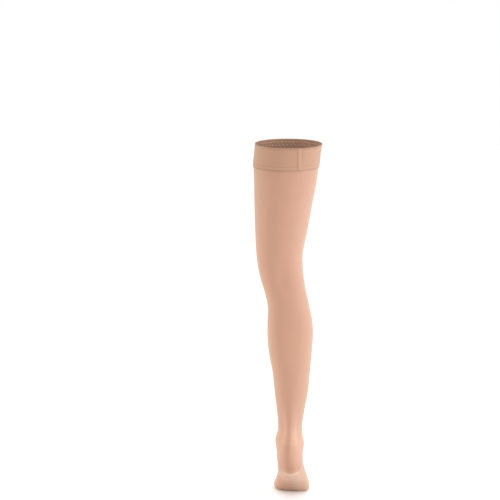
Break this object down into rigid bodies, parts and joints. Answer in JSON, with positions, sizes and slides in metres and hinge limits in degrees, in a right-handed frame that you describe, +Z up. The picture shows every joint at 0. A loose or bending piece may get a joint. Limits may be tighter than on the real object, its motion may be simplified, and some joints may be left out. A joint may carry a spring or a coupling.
{
  "type": "thigh-high compression stocking",
  "caption": "Closed-toe thigh-high compression stocking for a right leg, hollow in its worn form with the heel raised, seamless knitted leg and foot, broad elastic grip band with a lapped join.",
  "frame": {"origin": "middle of the grip band, on the thigh's centre line, where the thigh holds the stocking up", "axes": "+Z up along the leg, +Y forward to the toes, +X to the outer side of the right leg"},
  "size_m": [0.1596, 0.2217, 0.8305],
  "materials": {
    "leg_knit": "smooth fine knit in a pale beige, matt with a light bloom at a glancing angle",
    "band_knit": "elastic band in a slightly browner beige, with a small staggered texture, matt"
  },
  "bodies": {
    "root": {"leg": "leg_knit", "foot": "leg_knit", "toe": "leg_knit", "grip_band": "band_knit", "band_join": "band_knit"}
  },
  "joints": []
}
